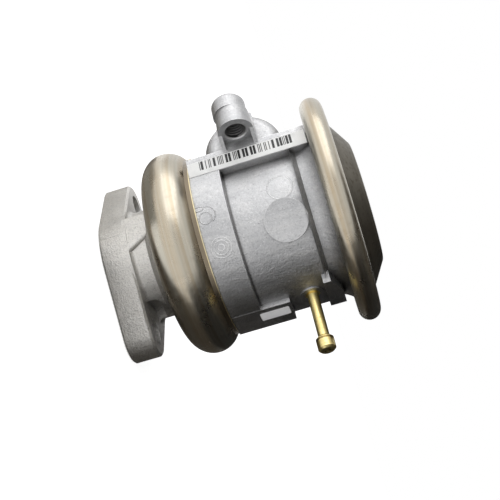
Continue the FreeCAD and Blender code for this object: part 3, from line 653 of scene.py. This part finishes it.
pad_face_x = 30.3 * mm
plate_middle = np.array([2.7, 49.2]) * mm
plate_half = np.array([2.4, 4.9]) * mm
plate_corner_r = 0.5 * mm
plate_levels = np.array([-0.05, 0.08, 0.10]) * mm
plate_shares = np.array([1.0, 1.0, 0.985])


def plate_on_pad(name):
    """Thin plate with round corners. Its outline is a small circle added to the corner of a
    rectangle that the same turn points to, found by the cosine and sine made steep and held at -1
    and 1. Three such outlines stand from behind the pad's face to the front, the last a little
    smaller."""
    turn = np.linspace(0, 2 * math.pi, 48, endpoint=False)
    circle = np.stack([np.cos(turn), np.sin(turn)], 1)
    flat = np.clip(9 * circle, -1, 1) * (plate_half - plate_corner_r) + circle * plate_corner_r
    x = np.broadcast_to((pad_face_x + plate_levels)[:, None, None], (3, 48, 1))
    return closed_surface(name, np.concatenate(
        [x, plate_middle + flat[None] * plate_shares[:, None, None]], -1))


bare_plate = plate_on_pad("bare_type_plate")
bare_plate.data.materials.append(foil)
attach(bare_plate, "housing")


# Studio: white floor under the flange and white surroundings, a soft lamp from the label side, and
# dark cards that only reflections see, which give the metal the dark flank of the photograph.

def plain(name, colour, glow=0.0):
    """Matt surface of one colour that also glows for the camera, so that it reads as white."""
    finish = bpy.data.materials.new(name)
    finish.use_nodes = True
    tree = finish.node_tree
    shader = tree.nodes["Principled BSDF"]
    shader.inputs["Base Color"].default_value = (*colour, 1.0)
    shader.inputs["Roughness"].default_value = 0.9
    shader.inputs["Emission Color"].default_value = (1.0, 1.0, 1.0, 1.0)
    rays = tree.nodes.new("ShaderNodeLightPath").outputs
    seen = plus(tree, rays["Is Camera Ray"], rays["Is Glossy Ray"])
    tree.links.new(times(tree, seen, glow), shader.inputs["Emission Strength"])
    return finish


def sheet(name, points, finish):
    """Open sheet through a grid of points: each face joins four neighbours of the grid."""
    rows, columns = points.shape[:2]
    index = np.arange(rows * columns).reshape(rows, columns)
    faces = np.stack([index[:-1, :-1], index[:-1, 1:], index[1:, 1:], index[1:, :-1]], -1)
    mesh = bpy.data.meshes.new(name)
    mesh.from_pydata(points.reshape(-1, 3).tolist(), [], faces.reshape(-1, 4).tolist())
    mesh.materials.append(finish)
    piece = bpy.data.objects.new(name, mesh)
    bpy.context.scene.collection.objects.link(piece)
    return piece


def flat_sheet(x_range, y_range, height):
    """Two by two grid of a level rectangle between two limits each way."""
    x, y = np.meshgrid(x_range, y_range)
    return np.stack([x, y, np.full_like(x, height)], -1)


def bent_sheet(radius, start, end, low, high):
    """Grid on an upright wall round the valve, between two angles from -Y towards +X."""
    angle, level = np.meshgrid(np.radians(np.linspace(start, end, 25)), [low, high])
    return np.stack([radius * np.sin(angle), -radius * np.cos(angle), level], -1)


sheet("floor", flat_sheet((-3.0, 3.0), (-3.0, 3.0), -0.0002),
      plain("floor_white", (0.9, 0.9, 0.9), 0.72))
card_black = plain("card_black", (0.02, 0.02, 0.02))
card_brown = plain("card_brown", (0.13, 0.115, 0.095))
card_grey = plain("card_grey", (0.52, 0.50, 0.46))
for name, points, finish in (
        ("dark_wall", bent_sheet(0.30, 65.0, 205.0, 0.0, 0.42), card_black),
        ("dark_roof", flat_sheet((-0.10, 0.28), (-0.10, 0.34), 0.34), card_brown),
        ("brown_table", flat_sheet((0.0, 0.28), (-0.03, 0.28), 0.0004), card_brown),
        ("back_table", flat_sheet((-0.13, 0.0), (0.0, 0.28), 0.0004), card_brown),
        ("grey_table", flat_sheet((-0.10, 0.0), (-0.055, 0.0), 0.0006), card_grey)):
    card = sheet(name, points, finish)
    card.visible_camera = False
    card.visible_diffuse = False
    card.visible_shadow = False

light_on_valve, white_in_view = 0.50, 1.0
world = bpy.data.worlds.new("studio_world")
bpy.context.scene.world = world
world.use_nodes = True
tree = world.node_tree
rays = tree.nodes.new("ShaderNodeLightPath").outputs
seen = plus(tree, plus(tree, rays["Is Camera Ray"], rays["Is Glossy Ray"]),
            rays["Is Transmission Ray"])
background = tree.nodes["Background"]
background.inputs["Color"].default_value = (1.0, 1.0, 1.0, 1.0)
tree.links.new(spread(tree, seen, 0.0, 1.0, light_on_valve, white_in_view),
               background.inputs["Strength"])


def soft_lamp(name, place, aim, size, power):
    """Square area lamp that looks at a point."""
    lamp = bpy.data.lights.new(name, "AREA")
    lamp.size = size
    lamp.energy = power
    piece = bpy.data.objects.new(name, lamp)
    piece.location = place
    piece.rotation_euler = (Vector(aim) - Vector(place)).to_track_quat("-Z", "Y").to_euler()
    bpy.context.scene.collection.objects.link(piece)


soft_lamp("key_lamp", (-0.42, -0.50, 0.16), (0, 0, 0.05), 0.80, 3.4)

camera_place = (0.1739, -0.2560, 0.0735)
azimuth, elevation, roll = (math.radians(angle) for angle in (33.332, 5.124, 73.444))
camera_data = bpy.data.cameras.new("camera")
camera_data.lens = 65.45
camera_data.sensor_width = 36.0
camera_data.clip_start = 0.01
camera = bpy.data.objects.new("camera", camera_data)
bpy.context.scene.collection.objects.link(camera)
back = Vector((math.sin(azimuth) * math.cos(elevation), -math.cos(azimuth) * math.cos(elevation),
               math.sin(elevation)))
right = Vector((math.cos(azimuth), math.sin(azimuth), 0.0))
up = back.cross(right)
tilted_right = right * math.cos(roll) + up * math.sin(roll)
tilted_up = up * math.cos(roll) - right * math.sin(roll)
turned = Matrix((tilted_right, tilted_up, back)).transposed()
camera.matrix_world = Matrix.Translation(camera_place) @ turned.to_4x4()
bpy.context.scene.camera = camera
bpy.context.scene.view_settings.view_transform = "Standard"
